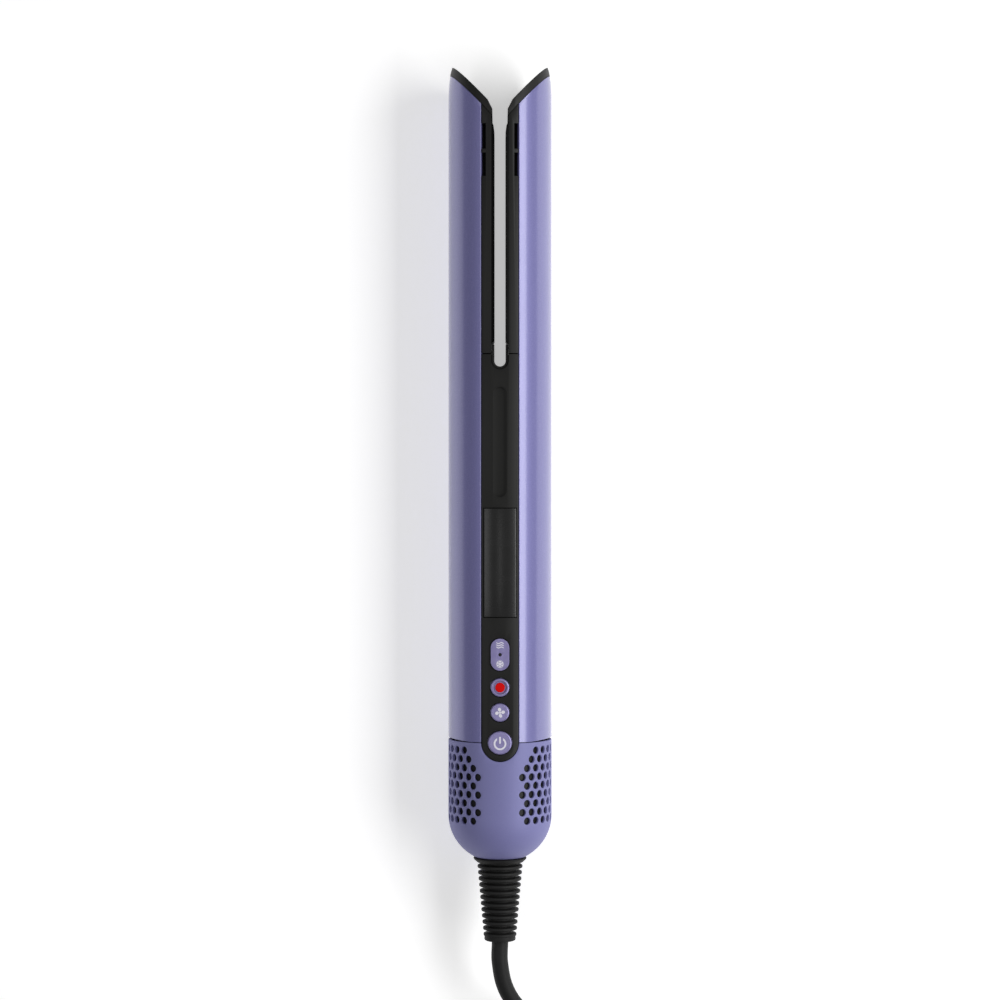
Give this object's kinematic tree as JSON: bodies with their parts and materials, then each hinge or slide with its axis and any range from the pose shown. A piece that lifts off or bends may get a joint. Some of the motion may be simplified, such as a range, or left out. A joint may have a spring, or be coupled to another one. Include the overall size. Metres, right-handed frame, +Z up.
{
  "type": "airflow hair straightener",
  "caption": "Straightener with a motor base and two hinged half-cylinder arms that blow hot air from bars along a hair slot, with buttons, display and tied cord.",
  "frame": {"origin": "centre of the tool's bounding box, without the free cord, on the surface that the flat back rests on", "axes": "+Y along the tool to the tips of the arms, +Z up through the button side, +X to the right seen from the button side with the tips up"},
  "size_m": [0.0616, 0.5508, 0.0402],
  "materials": {
    "lavender_metallic": "satin metallic",
    "lavender_plastic": "matt",
    "black_plastic": "satin",
    "grey_plastic": "matt",
    "smoked_glass": "gloss",
    "red_insert": "satin",
    "white_light": "translucent",
    "black_rubber": "matt",
    "steel": "ground",
    "dark_steel": "dark",
    "aluminium": "extruded",
    "nickel": "plated",
    "circuit_board": "solder mask",
    "filter_foam": "open foam"
  },
  "bodies": {
    "handle": {"base_cage": "lavender_metallic", "front_fascia": "black_plastic", "rear_cover": "black_plastic", "spine_chassis": "grey_plastic", "motor_housing": "grey_plastic", "display_glass": "smoked_glass", "deck_gasket": "black_rubber", "strain_relief": "black_rubber", "cord_tube": "black_rubber", "cord_hank": "black_rubber", "cord_tail": "black_rubber", "hank_tie": "black_rubber", "plug_body": "black_rubber", "plug_relief": "black_rubber", "hinge_spring_left": "steel", "hinge_spring_right": "steel", "hinge_pin_left": "steel", "hinge_pin_right": "steel", "rear_screw_lower": "steel", "rear_screw_upper": "steel", "bearing_lower": "steel", "bearing_upper": "steel", "filter_capacitor": "dark_steel", "display_module": "dark_steel", "switch_mode_upper": "dark_steel", "switch_mode_lower": "dark_steel", "switch_heat": "dark_steel", "switch_fan": "dark_steel", "switch_power": "dark_steel", "motor_stator": "dark_steel", "plug_pin_left": "nickel", "plug_pin_right": "nickel", "control_board": "circuit_board", "power_board": "circuit_board", "filter_sleeve": "filter_foam"},
    "arm_left": {"arm_shell_left": "lavender_metallic", "arm_frame_left": "black_plastic", "end_cap_left": "black_plastic", "air_bar_left": "black_plastic", "heater_core_left": "aluminium", "air_duct_left": "grey_plastic", "thermal_sensor_left": "steel"},
    "arm_right": {"arm_shell_right": "lavender_metallic", "arm_frame_right": "black_plastic", "end_cap_right": "black_plastic", "air_bar_right": "black_plastic", "heater_core_right": "aluminium", "air_duct_right": "grey_plastic", "thermal_sensor_right": "steel"},
    "mode_rocker": {"mode_rocker": "lavender_plastic", "mode_light": "white_light"},
    "heat_button": {"heat_button": "lavender_plastic", "heat_dot": "red_insert"},
    "fan_button": {"fan_button": "lavender_plastic"},
    "power_button": {"power_button": "lavender_plastic"},
    "rotor": {"motor_rotor": "dark_steel", "motor_shaft": "steel", "impeller": "black_plastic"},
    "lock": {"lock_slider": "lavender_plastic"}
  },
  "joints": [
    {"name": "arm_right_swing", "type": "hinge", "parent": "handle", "child": "arm_right", "pos_m": [0.0125, -0.0906, 0.0193], "axis": [0, 0, -1], "range_deg": [0, 6]},
    {"name": "arm_left_swing", "type": "hinge", "parent": "handle", "child": "arm_left", "pos_m": [-0.0125, -0.0906, 0.0193], "axis": [0, 0, 1], "range_deg": [0, 6]},
    {"name": "mode_rocker_tip", "type": "hinge", "parent": "handle", "child": "mode_rocker", "pos_m": [0, -0.0589, 0.0367], "axis": [1, 0, 0], "range_deg": [-3, 3], "stiffness_Nm_per_rad": 0.05},
    {"name": "heat_press", "type": "slide", "parent": "handle", "child": "heat_button", "axis": [0, 0, -1], "range_m": [0, 0.0006], "stiffness_N_per_m": 800},
    {"name": "fan_press", "type": "slide", "parent": "handle", "child": "fan_button", "axis": [0, 0, -1], "range_m": [0, 0.0006], "stiffness_N_per_m": 800},
    {"name": "power_press", "type": "slide", "parent": "handle", "child": "power_button", "axis": [0, 0, -1], "range_m": [0, 0.0006], "stiffness_N_per_m": 800},
    {"name": "fan_spin", "type": "hinge", "parent": "handle", "child": "rotor", "pos_m": [0, -0.1041, 0.0193], "axis": [0, 1, 0], "continuous": true},
    {"name": "lock_slide", "type": "slide", "parent": "handle", "child": "lock", "axis": [0, 1, 0], "range_m": [0, 0.004]}
  ],
  "couplings": [
    {"joint": "arm_left_swing", "follows": "arm_right_swing", "ratio": 1}
  ]
}
